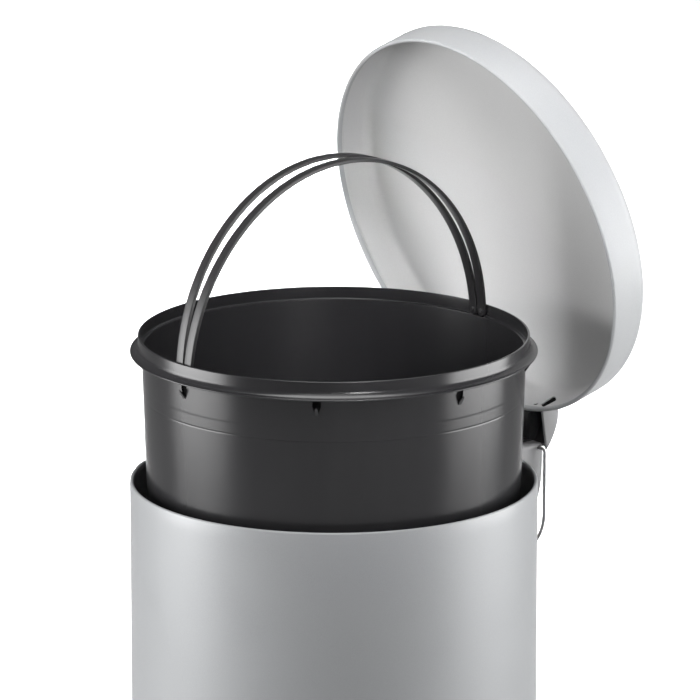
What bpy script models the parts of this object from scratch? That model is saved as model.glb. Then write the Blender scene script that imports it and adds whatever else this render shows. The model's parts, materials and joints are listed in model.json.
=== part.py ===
"""A round pedal bin with an inner bucket, shown open with the bucket lifted.

Metres, +Z up. The origin is on the can's axis at floor level, the pedal points to -Y and the
lid hinge is at +Y. Everything is stored with the pedal down, the lid open, and the bucket
raised by its two hoops.
"""

import math

import bmesh
import bpy
from mathutils import Matrix, Vector

# Driving dimensions
BODY_R = 0.125                 # outer radius of the steel can
RIM_Z = 0.360                  # top of the can's rolled rim above the floor
SHEET = 0.0008                 # steel sheet
GAP = 0.0003                   # clearance between pieces that touch
TURNS = 60                     # sides of a full turn on the large round pieces

LID_OPEN = math.radians(74.73)
LID_EDGE_UP = 0.00375          # closed lid's edge above the rim
HINGE = Vector((0.0, 0.1459, RIM_Z - 0.00125))
LID_R = 0.1258                 # outer radius of the lid's skirt, a little over the can's
LID_CORNER = 0.008             # radius of the rounded corner
LID_SKIRT = 0.0208             # from the edge up to the corner
LID_DOME = 0.0252              # rise of the dome above the corner
LID_CORNER_TURN = 66           # degrees of the corner before the dome starts
SLOT_OUTLINE = (               # corners of a slot in the skirt: from the middle, above the edge
    (0.0176, 0.0098), (0.0190, 0.0085), (0.0236, 0.0061), (0.0248, 0.0070),
    (0.0250, 0.0160), (0.0195, 0.0205), (0.0165, 0.0216), (0.0157, 0.0206),
)
HOLE_X, HOLE_UP, HOLE_R = 0.0130, 0.0093, 0.0015

BUCKET_LIFT = 0.0803           # how far the bucket is raised from its seat
FLANGE_R = 0.1245
FLANGE_T = 0.0019
COLLAR_R = 0.1196              # outer radius of the upright collar
COLLAR_WALL = 0.0013
COLLAR_H = 0.0110              # collar top above the flange's underside
BUCKET_TOP_R = 0.11735         # outer radius of the wall under the flange
BUCKET_BOTTOM_R = 0.1080
BUCKET_DEPTH = 0.300           # flange underside to bucket floor
BUCKET_WALL = 0.00135
LEDGE_UP = 0.0033              # inner ledge above the flange's underside

HOOP_SPAN_R = 0.1181           # half span of a hoop, outer face
HOOP_RISE_R = 0.1214           # rise of the hoop's arc, outer face
HOOP_DROP = 0.0076             # arc centre below the pivots
HOOP_T = 0.0022
HOOP_W = 0.0066
HOOP_EDGE = 0.0006             # chamfer along the band's two outer edges
HOOP_OFFSET = 0.0036           # pivots of the two hoops, left and right of the middle
HOOP_LEANS = {"left": math.radians(-1.8), "right": math.radians(2.5)}
HOOP_STUD_R = 0.0014

HOUSING_HALF_W = 0.025
HOUSING_BACK = 0.0040          # housing's back face behind the hinge axis
HOUSING_TOP = 0.0018           # above the rim
HOUSING_BELLY = -0.012         # height, from the rim, where the back starts to taper in
HOUSING_TAPER = 0.044          # length of the taper
HOUSING_WALL = 0.0022
HOUSING_CORNER = 0.003         # radius of the top back corner
RIVET_R = 0.0015
RIVET_HEAD_R = 0.0030
RIVET_X = 0.0135
RIVET_HEIGHTS = (-0.014, -0.036)
LUG_IN, LUG_OUT, LUG_HALF_H = 0.0037, 0.0055, 0.0045   # the housing's lugs, about each rivet
PIN_R = 0.0015

COVER_HALF_W = 0.029           # the lid's hinge piece, heights counted from the hinge axis
COVER_WALL = 0.0016
COVER_TIP = 0.0021             # its rear tip behind the axis
COVER_LOW = 0.0027             # its lower edge at the tip, and at its front
COVER_FRONT_LOW = 0.0065
COVER_TOP = 0.0188
COVER_REACH = 0.0215           # from the axis forward to the end of its curved back
COVER_FRONT = 0.030
KNUCKLE_R = 0.0036
KNUCKLE_HALF_W = 0.0172
KNUCKLE_ROOM = 0.0044          # kept free round the axis for the housing's top
PLATE_HALF_W = 0.0245          # curved clip plate that lies on the lid's skirt
PLATE_T = 0.0019
PLATE_LOW, PLATE_TOP = 0.009, 0.0225   # above the lid's edge
WEB_NEAR, WEB_FAR = 0.0140, 0.0165
TAB_X = 0.0210
TAB_HALF_W = 0.0018
TAB_LOW, TAB_HIGH = 0.0130, 0.0155
TAB_INNER_Y, TAB_OUTER_Y = 0.1236, 0.1252

CRANK_R = 0.014                # hinge axis to the crank's nose
CRANK_NOSE_R = 0.003
CRANK_NECK = 0.0013            # half the crank's depth where it meets its nose
CRANK_HALF_W = 0.0035
ROD_R = 0.002
ROD_INNER_Y = 0.1211
ROD_OUTER_Y = 0.1338
ROD_SLOT_HALF_W = 0.0032
ROD_SLOT_BELOW = (0.058, 0.022)   # bottom and top of the rod's slot, below the rim
ROD_BEND_BELOW = (0.037, 0.021)   # the rod's two bends, below the rim
ROD_BEND_R = 0.005

BAIL_WIRE_R = 0.001
BAIL_HALF_W = 0.0304
BAIL_LEG = 0.0405

BODY_BOTTOM = 0.010
BODY_BEAD_R = 0.00095          # radius of the rolled rim's bead
BASE_LIP_R = 0.1262            # plastic base: its lip under the can, and its wall inside the can
BASE_R, BASE_INNER_R = 0.1239, 0.1216
BASE_LOW, BASE_TOP = 0.0023, 0.022
FLOOR_RING_R, FLOOR_RING_INNER_R, FLOOR_RING_H = 0.1256, 0.1222, 0.0020
PLATE_Z = 0.034                # underside of the steel bottom plate
PLATE_SHEET = 0.001
PLATE_RIM = 0.010              # depth of the plate's turned-down rim
PEDAL_SLOT_LOW, PEDAL_SLOT_HIGH = 0.0075, 0.0325
NOTCH_HALF_W = 0.014           # room at the back for the lever's end

PEDAL_PIVOT = Vector((0.0, 0.0, 0.020))
PEDAL_TILT = math.radians(-4.0)
PEDAL_TIP_Y = -0.1746
PEDAL_PIN_R = 0.0025
PEDAL_PIN_HALF_L = 0.0175
PEDAL_PIN_HEAD_R, PEDAL_PIN_HEAD_X = 0.0040, 0.0158
LEVER_HALF_W = 0.012
LEVER_T = 0.003
LEVER_END_Y = 0.1224
LEVER_BARREL_R = 0.0045
TREAD_HALF_W, TREAD_L, TREAD_HALF_T = 0.029, 0.042, 0.0046
PAD_HALF_W, PAD_T = 0.025, 0.0015
BRACKET_OUT, BRACKET_IN = 0.0155, 0.0135   # outer and inner faces of the two cheeks
BRACKET_FOOT_X = 0.028
BRACKET_LOW = 0.0135
BRACKET_HALF_L = 0.013
BRACKET_SHEET = 0.0016
BRACKET_RIVET_X, BRACKET_RIVET_Y = 0.021, 0.008
BRACKET_HEAD_T = 0.0012

SCENE = bpy.context.scene


# Materials

def material(name, colour, roughness, metallic):
    mat = bpy.data.materials.new(name)
    mat.use_nodes = True
    shader = mat.node_tree.nodes["Principled BSDF"]
    shader.inputs["Base Color"].default_value = (*colour, 1.0)
    shader.inputs["Roughness"].default_value = roughness
    shader.inputs["Metallic"].default_value = metallic
    mat.diffuse_color = (*colour, 1.0)
    return mat


def make_materials():
    return {
        "can": material("can_grey_coat", (0.52, 0.53, 0.54), 0.45, 0.0),
        "lid": material("lid_grey_coat", (0.55, 0.56, 0.57), 0.42, 0.0),
        "bucket": material("bucket_charcoal", (0.035, 0.035, 0.037), 0.38, 0.0),
        "hoop": material("hoop_charcoal", (0.045, 0.045, 0.047), 0.35, 0.0),
        "housing": material("housing_grey_plastic", (0.30, 0.30, 0.31), 0.45, 0.0),
        "steel": material("plain_steel", (0.60, 0.60, 0.60), 0.35, 1.0),
        "wire": material("bright_wire", (0.72, 0.72, 0.72), 0.22, 1.0),
        "black": material("black_plastic", (0.02, 0.02, 0.02), 0.5, 0.0),
        "rubber": material("black_rubber", (0.015, 0.015, 0.015), 0.8, 0.0),
    }


# Shape helpers

def clear_scene():
    for obj in list(bpy.data.objects):
        bpy.data.objects.remove(obj, do_unlink=True)


def add_object(name, bm, mat, sharp=35.0):
    bmesh.ops.recalc_face_normals(bm, faces=bm.faces)
    mesh = bpy.data.meshes.new(name)
    bm.to_mesh(mesh)
    bm.free()
    mesh.shade_smooth()
    mesh.set_sharp_from_angle(angle=math.radians(sharp))
    obj = bpy.data.objects.new(name, mesh)
    SCENE.collection.objects.link(obj)
    if mat:
        mesh.materials.append(mat)
    return obj


def lathe(name, profile, mat, turns=TURNS, lift=0.0):
    """Turn a closed outline of (radius, height) points about Z."""
    bm = bmesh.new()
    rings = []
    for radius, height in profile:
        if radius < 1e-7:
            rings.append([bm.verts.new((0.0, 0.0, height + lift))])
            continue
        ring = []
        for k in range(turns):
            angle = 2 * math.pi * k / turns
            ring.append(bm.verts.new((radius * math.cos(angle), radius * math.sin(angle), height + lift)))
        rings.append(ring)
    for low, high in zip(rings, rings[1:] + rings[:1]):
        for k in range(turns):
            after = (k + 1) % turns
            corners = [low[k % len(low)], low[after % len(low)],
                       high[after % len(high)], high[k % len(high)]]
            corners = list(dict.fromkeys(corners))
            if len(corners) > 2:
                bm.faces.new(corners)
    return add_object(name, bm, mat)


def prism(name, outline, low_x, high_x, mat):
    """Extrude a closed outline of (y, z) points along X."""
    bm = bmesh.new()
    ends = [[bm.verts.new((x, y, z)) for y, z in outline] for x in (low_x, high_x)]
    bm.faces.new(ends[0])
    bm.faces.new(ends[1])
    for k in range(len(outline)):
        after = (k + 1) % len(outline)
        bm.faces.new((ends[0][k], ends[0][after], ends[1][after], ends[1][k]))
    return add_object(name, bm, mat)


def block(name, low, high, mat, bevel=0.0):
    bm = bmesh.new()
    bmesh.ops.create_cube(bm, size=1.0)
    size = Vector(high) - Vector(low)
    middle = (Vector(high) + Vector(low)) / 2
    bmesh.ops.scale(bm, vec=size, verts=bm.verts)
    bmesh.ops.translate(bm, vec=middle, verts=bm.verts)
    if bevel:
        bmesh.ops.bevel(bm, geom=bm.edges[:], offset=bevel, segments=2, affect="EDGES", profile=0.5)
    return add_object(name, bm, mat)


def rod_between(name, start, end, radius, mat, sides=14):
    """A round bar between two points."""
    start, end = Vector(start), Vector(end)
    bm = bmesh.new()
    bmesh.ops.create_cone(
        bm, cap_ends=True, segments=sides, radius1=radius, radius2=radius, depth=(end - start).length
    )
    turn = (end - start).to_track_quat("Z", "Y").to_matrix().to_4x4()
    bmesh.ops.transform(bm, matrix=Matrix.Translation((start + end) / 2) @ turn, verts=bm.verts)
    return add_object(name, bm, mat)


def tube_along(name, points, radius, mat, sides=12):
    """A round wire through points, with flat ends."""
    bm = bmesh.new()
    rings = []
    normal = None
    for k, point in enumerate(points):
        before, after = points[max(k - 1, 0)], points[min(k + 1, len(points) - 1)]
        along = (after - before).normalized()
        if normal is None:
            normal = along.orthogonal().normalized()
        normal = (normal - along * normal.dot(along)).normalized()
        side = along.cross(normal)
        ring = []
        for step in range(sides):
            angle = 2 * math.pi * step / sides
            offset = (normal * math.cos(angle) + side * math.sin(angle)) * radius
            ring.append(bm.verts.new(point + offset))
        rings.append(ring)
    for low, high in zip(rings, rings[1:]):
        for step in range(sides):
            after = (step + 1) % sides
            bm.faces.new((low[step], low[after], high[after], high[step]))
    bm.faces.new(rings[0])
    bm.faces.new(rings[-1])
    return add_object(name, bm, mat)


def combine(target, other, operation):
    """Cut other from target, or join it on, with an exact Boolean."""
    other.hide_render = True
    other.display_type = "WIRE"
    mod = target.modifiers.new(operation.lower(), "BOOLEAN")
    mod.operation = operation
    mod.solver = "EXACT"
    mod.object = other
    return target


def cut(target, *cutters):
    for cutter in cutters:
        combine(target, cutter, "DIFFERENCE")
    return target


def join(target, *others):
    for other in others:
        combine(target, other, "UNION")
    return target


def arc(centre, radius, start, end, steps):
    """Points on an arc in an outline's own plane, angles in degrees from its first axis."""
    points = []
    for k in range(steps + 1):
        angle = math.radians(start + (end - start) * k / steps)
        points.append((centre[0] + radius * math.cos(angle), centre[1] + radius * math.sin(angle)))
    return points


def bend(corner_a, corner, corner_b, radius, steps=6):
    """Points of a rounded bend between two straight runs of wire."""
    to_a, to_b = (corner_a - corner).normalized(), (corner_b - corner).normalized()
    half = to_a.angle(to_b) / 2
    reach = radius / math.tan(half)
    centre = corner + (to_a + to_b).normalized() * radius / math.sin(half)
    first, last = corner + to_a * reach - centre, corner + to_b * reach - centre
    turn = first.angle(last)
    points = []
    for k in range(steps + 1):
        part = k / steps
        weight = (math.sin((1 - part) * turn), math.sin(part * turn))
        points.append(centre + (first * weight[0] + last * weight[1]) / math.sin(turn))
    return points


def hang_on(obj, pivot):
    """Put an object's origin on its joint's axis."""
    obj.data.transform(Matrix.Translation(-pivot))
    obj.location = pivot
    return obj


# The can and its foot

def make_outer_body(mats):
    bead = BODY_BEAD_R
    bead_r = BODY_R - bead
    profile = [(BODY_R, BODY_BOTTOM), (BODY_R, RIM_Z - bead)]
    profile += arc((bead_r, RIM_Z - bead), bead, 30, 150, 4)
    profile += [(bead_r - bead, RIM_Z - bead), (bead_r - bead, RIM_Z - 0.0035)]
    profile += [(BODY_R - SHEET, RIM_Z - 0.0042), (BODY_R - SHEET, BODY_BOTTOM)]
    body = lathe("outer_body", profile, mats["can"])
    cut(body, pedal_slot_cutter("body_pedal_cutter"))
    slot_low, slot_high = (RIM_Z - below for below in ROD_SLOT_BELOW)
    rod_slot = block(
        "body_rod_cutter", (-ROD_SLOT_HALF_W, BODY_R - 0.005, slot_low),
        (ROD_SLOT_HALF_W, BODY_R + 0.003, slot_high), None,
    )
    cut(body, rod_slot)
    for height in RIVET_HEIGHTS:
        for side in (-1, 1):
            cut(body, rivet_bore(f"body_rivet_cutter_{side}_{height}", side, height))
    return body


def rivet_bore(name, side, height):
    start = (side * RIVET_X, BODY_R - 0.006, RIM_Z + height)
    end = (side * RIVET_X, BODY_R + 0.006, RIM_Z + height)
    return rod_between(name, start, end, RIVET_R + GAP, None)


def pedal_slot_cutter(name):
    reach = LEVER_HALF_W + 0.002
    low = (-reach, -BODY_R - 0.005, PEDAL_SLOT_LOW)
    return block(name, low, (reach, -BODY_R + 0.010, PEDAL_SLOT_HIGH), None)


def make_base(mats):
    shoulder = BODY_BOTTOM - GAP
    ring_profile = [
        (BASE_LIP_R, BASE_LOW), (BASE_LIP_R, shoulder), (BASE_R, shoulder), (BASE_R, BASE_TOP),
        (BASE_INNER_R, BASE_TOP), (BASE_INNER_R, BASE_LOW),
    ]
    ring = lathe("base_ring", ring_profile, mats["black"])
    notch_low = (-NOTCH_HALF_W, 0.110, PEDAL_SLOT_LOW)
    notch = block("base_lever_cutter", notch_low, (NOTCH_HALF_W, BASE_R + 0.0005, BASE_TOP + 0.001), None)
    cut(ring, pedal_slot_cutter("base_pedal_cutter"), notch)
    lathe("floor_ring", [
        (FLOOR_RING_R, 0.0), (FLOOR_RING_R, FLOOR_RING_H),
        (FLOOR_RING_INNER_R, FLOOR_RING_H), (FLOOR_RING_INNER_R, 0.0),
    ], mats["rubber"])

    top = PLATE_Z + PLATE_SHEET
    rim_low = PLATE_Z - PLATE_RIM
    plate = lathe("bottom_plate", [
        (0.0, top), (BASE_R, top), (BASE_R, rim_low), (BASE_R - PLATE_SHEET, rim_low),
        (BASE_R - PLATE_SHEET, PLATE_Z), (0.0, PLATE_Z),
    ], mats["steel"])
    rod_half, outside = ROD_R + 0.0014, BODY_R + 0.005
    rod_notch = block("plate_rod_cutter", (-rod_half, 0.117, 0.020), (rod_half, outside, 0.040), None)
    lever_top = PLATE_Z - 0.0005
    lever_notch = block(
        "plate_lever_cutter", (-NOTCH_HALF_W, 0.112, 0.020), (NOTCH_HALF_W, outside, lever_top), None
    )
    cut(plate, pedal_slot_cutter("plate_pedal_cutter"), rod_notch, lever_notch)
    for side in (-1, 1):
        for end in (-1, 1):
            bore = bracket_rivet(f"plate_rivet_cutter_{side}_{end}", side, end, RIVET_R + GAP, None)
            cut(plate, bore)


def bracket_rivet(name, side, end, radius, mat):
    x, y = side * BRACKET_RIVET_X, end * BRACKET_RIVET_Y
    return rod_between(name, (x, y, PLATE_Z - 0.004), (x, y, PLATE_Z + 0.004), radius, mat)


def make_pedal_bracket(mats):
    """A folded strap: two cheeks that hold the pivot pin, and feet riveted to the plate."""
    top = PLATE_Z - GAP
    outer, inner, low, foot_x = BRACKET_OUT, BRACKET_IN, BRACKET_LOW, BRACKET_FOOT_X
    foot_low = top - BRACKET_SHEET
    outline = [
        (-foot_x, top), (foot_x, top), (foot_x, foot_low), (outer, foot_low), (outer, low),
        (inner, low), (inner, foot_low), (-inner, foot_low), (-inner, low), (-outer, low),
        (-outer, foot_low), (-foot_x, foot_low),
    ]
    bracket = prism("pedal_bracket", outline, -BRACKET_HALF_L, BRACKET_HALF_L, mats["steel"])
    bracket.data.transform(Matrix.Rotation(math.radians(90), 4, "Z"))
    cut(bracket, pivot_bar("bracket_pin_cutter", -0.02, 0.02, PEDAL_PIN_R + GAP, None))
    for side in (-1, 1):
        for end in (-1, 1):
            cut(bracket, bracket_rivet(f"bracket_rivet_cutter_{side}_{end}", side, end, RIVET_R + GAP, None))
            name = f"bracket_rivet_{'right' if side > 0 else 'left'}_{'back' if end > 0 else 'front'}"
            shank = bracket_rivet(name, side, end, RIVET_R, mats["steel"])
            head_z = top + 2 * GAP + PLATE_SHEET
            foot_z = foot_low - GAP - BRACKET_HEAD_T
            for label, low_z in (("head", head_z), ("foot", foot_z)):
                start = Vector((side * BRACKET_RIVET_X, end * BRACKET_RIVET_Y, low_z))
                finish = start + Vector((0, 0, BRACKET_HEAD_T))
                join(shank, rod_between(f"{name}_{label}_tool", start, finish, RIVET_HEAD_R, None))
    pin = pivot_bar("pedal_pin", -PEDAL_PIN_HALF_L, PEDAL_PIN_HALF_L, PEDAL_PIN_R, mats["steel"])
    head = pivot_bar("pedal_pin_head_tool", PEDAL_PIN_HEAD_X, PEDAL_PIN_HALF_L, PEDAL_PIN_HEAD_R, None)
    tail = pivot_bar("pedal_pin_tail_tool", -PEDAL_PIN_HALF_L, -PEDAL_PIN_HEAD_X, PEDAL_PIN_HEAD_R, None)
    join(pin, head, tail)


def pivot_bar(name, start_x, end_x, radius, mat):
    """A round bar on the pedal's pivot."""
    return rod_between(name, (start_x, 0, PEDAL_PIVOT.z), (end_x, 0, PEDAL_PIVOT.z), radius, mat)


# The pedal and its rod

def tilted(obj):
    obj.data.transform(Matrix.Rotation(-PEDAL_TILT, 4, "X"))
    obj.location = PEDAL_PIVOT
    return obj


def make_pedal(mats):
    half_t = LEVER_T / 2
    lever = block(
        "pedal_lever", (-LEVER_HALF_W, PEDAL_TIP_Y + 0.010, -half_t), (LEVER_HALF_W, LEVER_END_Y, half_t),
        mats["steel"], 0.0006,
    )
    barrel_half = LEVER_HALF_W - 0.0002
    barrel = rod_between("lever_barrel_tool", (-barrel_half, 0, 0), (barrel_half, 0, 0), LEVER_BARREL_R, None)
    bore = rod_between("lever_bore_cutter", (-0.02, 0, 0), (0.02, 0, 0), PEDAL_PIN_R + GAP, None)
    tilted(join(lever, barrel))
    cut(lever, tilted(bore))
    tilted(barrel)

    tip = PEDAL_TIP_Y
    tread = block(
        "pedal_tread", (-TREAD_HALF_W, tip, -TREAD_HALF_T), (TREAD_HALF_W, tip + TREAD_L, TREAD_HALF_T),
        mats["black"], 0.0022,
    )
    pocket = block(
        "tread_pocket_cutter", (-LEVER_HALF_W - GAP, tip + 0.008, -half_t - GAP),
        (LEVER_HALF_W + GAP, tip + 0.060, half_t + GAP), None,
    )
    cut(tread, tilted(pocket))
    tilted(tread)
    pad_low = TREAD_HALF_T + GAP
    pad = block(
        "pedal_pad", (-PAD_HALF_W, tip + 0.004, pad_low),
        (PAD_HALF_W, tip + TREAD_L - 0.004, pad_low + PAD_T), mats["rubber"], 0.0004,
    )
    tilted(pad)


def make_push_rod(mats):
    foot_z = PEDAL_PIVOT.z + (LEVER_T / 2 + GAP) / math.cos(PEDAL_TILT) - ROD_INNER_Y * math.tan(PEDAL_TILT)
    top_z = crank_nose().z - CRANK_NOSE_R - GAP - 0.0002
    foot = Vector((0, ROD_INNER_Y, foot_z + 0.0002))
    low = Vector((0, ROD_INNER_Y, RIM_Z - ROD_BEND_BELOW[0]))
    high = Vector((0, ROD_OUTER_Y, RIM_Z - ROD_BEND_BELOW[1]))
    top = Vector((0, ROD_OUTER_Y, top_z))
    points = [foot] + bend(foot, low, high, ROD_BEND_R) + bend(low, high, top, ROD_BEND_R) + [top]
    rod = tube_along("push_rod", points, ROD_R, mats["steel"])
    return hang_on(rod, foot)


# The hinge

def crank_nose():
    """Where the crank's nose is with the lid open: as far above the axis as it goes below."""
    half = LID_OPEN / 2
    return HINGE + Vector((0, -CRANK_R * math.cos(half), CRANK_R * math.sin(half)))


def housing_outline(inset):
    """Side view of the housing: a flat top, a rounded back, and a taper down to the can."""
    back = HINGE.y + HOUSING_BACK - inset
    front = BODY_R - 0.006 - 2 * inset
    top = RIM_Z + HOUSING_TOP + 2 * inset
    points = [(front, top)]
    points += arc((back - HOUSING_CORNER, top - HOUSING_CORNER), HOUSING_CORNER, 90, 0, 3)
    depth = back - BODY_R
    belly = RIM_Z + HOUSING_BELLY
    for k in range(8):
        angle = math.radians(90 * k / 7)
        points.append((BODY_R + depth * math.cos(angle), belly - (HOUSING_TAPER - inset) * math.sin(angle)))
    points.append((front, belly - HOUSING_TAPER + inset))
    return points


def make_hinge_housing(mats):
    housing = prism("hinge_housing", housing_outline(0.0), -HOUSING_HALF_W, HOUSING_HALF_W, mats["housing"])
    edges = housing.modifiers.new("soft_edges", "BEVEL")
    edges.width = 0.0016
    edges.segments = 2
    edges.limit_method = "ANGLE"
    edges.angle_limit = math.radians(50)
    room_half = KNUCKLE_HALF_W + GAP
    hollow = prism("housing_hollow_cutter", housing_outline(HOUSING_WALL), -room_half, room_half, None)
    mouth = block(
        "housing_mouth_cutter", (-room_half, 0.110, RIM_Z - 0.0062), (room_half, 0.160, RIM_Z + 0.010), None
    )
    can = lathe("housing_can_cutter", [
        (0.0, RIM_Z + 0.02), (BODY_R + GAP, RIM_Z + 0.02), (BODY_R + GAP, RIM_Z - 0.1), (0.0, RIM_Z - 0.1),
    ], None)
    reach = room_half + 0.0034
    pin_bore = rod_between(
        "housing_pin_cutter", (-reach, HINGE.y, HINGE.z), (reach, HINGE.y, HINGE.z), PIN_R + GAP, None
    )
    cut(housing, can, hollow, mouth, pin_bore)
    for side in (-1, 1):
        start = (side * (HOUSING_HALF_W - 0.0032), HINGE.y, HINGE.z)
        end = (side * (HOUSING_HALF_W + 0.004), HINGE.y, HINGE.z)
        cut(housing, rod_between(f"housing_bail_cutter_{side}", start, end, BAIL_WIRE_R + GAP, None))
        for height in RIVET_HEIGHTS:
            near_x, far_x = sorted((side * (RIVET_X - LUG_IN), side * (RIVET_X + LUG_OUT)))
            lug_low = (near_x, 0.121, RIM_Z + height - LUG_HALF_H)
            lug_high = (far_x, 0.134, RIM_Z + height + LUG_HALF_H)
            lug = block(f"housing_lug_tool_{side}_{height}", lug_low, lug_high, None)
            cut(lug, can)
            join(housing, lug)
    for side in (-1, 1):
        for height in RIVET_HEIGHTS:
            cut(housing, rivet_bore(f"housing_rivet_cutter_{side}_{height}", side, height))
            label = f"{'right' if side > 0 else 'left'}_{'top' if height > -0.02 else 'bottom'}"
            start, middle, end = ((side * RIVET_X, y, RIM_Z + height) for y in (0.1215, 0.1228, 0.1306))
            rivet = rod_between("housing_rivet_" + label, start, end, RIVET_R, mats["steel"])
            join(rivet, rod_between(f"rivet_head_tool_{label}", start, middle, RIVET_HEAD_R, None))
    rod_between(
        "hinge_pin", (-room_half - 0.003, HINGE.y, HINGE.z), (room_half + 0.003, HINGE.y, HINGE.z),
        PIN_R, mats["steel"],
    )


# The lid and its hinge piece

def lid_outline(inset):
    """The lid's section from its edge to its middle, as (radius, height above the edge)."""
    corner = LID_CORNER - inset
    centre = (LID_R - LID_CORNER, LID_SKIRT)
    turn = math.radians(LID_CORNER_TURN)
    shoulder_r = centre[0] + corner * math.cos(turn)
    shoulder_h = centre[1] + corner * math.sin(turn)
    points = [(LID_R - inset, 0.0)]
    points += arc(centre, corner, 0, LID_CORNER_TURN, 4)
    outer_r = centre[0] + LID_CORNER * math.cos(turn)
    sphere_r = (outer_r ** 2 + LID_DOME ** 2) / (2 * LID_DOME)
    slope_rise = math.sqrt(sphere_r ** 2 - shoulder_r ** 2)
    for share in (0.80, 0.60, 0.40, 0.20, 0.0):
        radius = shoulder_r * share
        points.append((radius, shoulder_h + math.sqrt(sphere_r ** 2 - radius ** 2) - slope_rise))
    return points


def opened(obj):
    """Swing a piece drawn on the closed lid up to the open position, about the hinge."""
    obj.data.transform(Matrix.Rotation(-LID_OPEN, 4, "X") @ Matrix.Translation(-HINGE))
    obj.location = HINGE
    return obj


def skirt_slot(name, side):
    """Cutter for the slot in the skirt that the hinge piece clips into."""
    edge = RIM_Z + LID_EDGE_UP
    outline = [(-side * x, edge + up) for x, up in SLOT_OUTLINE]
    tool = prism(name, outline, LID_R - 0.016, LID_R + 0.006, None)
    tool.data.transform(Matrix.Rotation(math.radians(90), 4, "Z"))
    return tool


def make_lid(mats):
    edge = RIM_Z + LID_EDGE_UP
    lid = lathe("lid_shell", lid_outline(0.0) + lid_outline(SHEET)[::-1], mats["lid"], lift=edge)
    for side in (-1, 1):
        x, z = side * HOLE_X, edge + HOLE_UP
        hole_ends = [(x, LID_R - 0.011, z), (x, LID_R + 0.005, z)]
        hole = rod_between(f"lid_hole_cutter_{side}", *hole_ends, HOLE_R, None)
        cut(lid, opened(skirt_slot(f"lid_slot_cutter_{side}", side)), opened(hole))
    return opened(lid)


def cover_outline(inset, front, front_low, tip):
    """Side view of the closed lid's hinge piece, as (y, z): a quarter of a teardrop."""
    steps, fullness = 9, 0.82
    back = COVER_TIP - inset
    top = COVER_TOP - inset
    points = [(-front, front_low), tip]
    for k in range(1, steps + 1):
        part = k / steps
        rise = math.sin(part * math.pi / 2) ** fullness
        points.append((back - (back + COVER_REACH) * part, COVER_LOW + (top - COVER_LOW) * rise))
    points.append((-front, top + 0.0002))
    return [(HINGE.y + y, HINGE.z + z) for y, z in points]


def clip_plate(name):
    """A curved plate that lies on the outside of the lid's skirt, over its two slots."""
    edge = RIM_Z + LID_EDGE_UP
    inner_r, outer_r, steps = LID_R - 0.001, LID_R + PLATE_T, 10
    low, high = edge + PLATE_LOW, edge + PLATE_TOP
    outline = []
    for radius, direction in ((outer_r, 1), (inner_r, -1)):
        for k in range(steps + 1):
            x = direction * PLATE_HALF_W * (2 * k / steps - 1)
            outline.append((x, math.sqrt(radius ** 2 - x ** 2)))
    bm = bmesh.new()
    ends = [[bm.verts.new((x, y, z)) for x, y in outline] for z in (low, high)]
    bm.faces.new(ends[0])
    bm.faces.new(ends[1])
    for k in range(len(outline)):
        after = (k + 1) % len(outline)
        bm.faces.new((ends[0][k], ends[0][after], ends[1][after], ends[1][k]))
    return add_object(name, bm, None)


def crank_outline():
    """Side view of the crank's arm: deep at the axis, narrow where it meets the nose."""
    half_open = LID_OPEN / 2
    along = Vector((0, -math.cos(half_open), -math.sin(half_open)))
    across = Vector((0, math.sin(half_open), -math.cos(half_open)))
    root = KNUCKLE_R - 0.0004
    nose = HINGE + along * CRANK_R
    neck = across * CRANK_NECK
    corners = [HINGE + across * root, nose + neck, nose - neck, HINGE - across * root]
    return nose, [(corner.y, corner.z) for corner in corners]


def web_outline():
    """Side view of the two webs that carry the knuckle."""
    points = [(-0.0030, 0.0), (0.0005, 0.0030), (-0.0130, 0.0150), (-0.0195, 0.0172), (-0.0195, 0.0060)]
    return [(HINGE.y + y, HINGE.z + z) for y, z in points]


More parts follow.
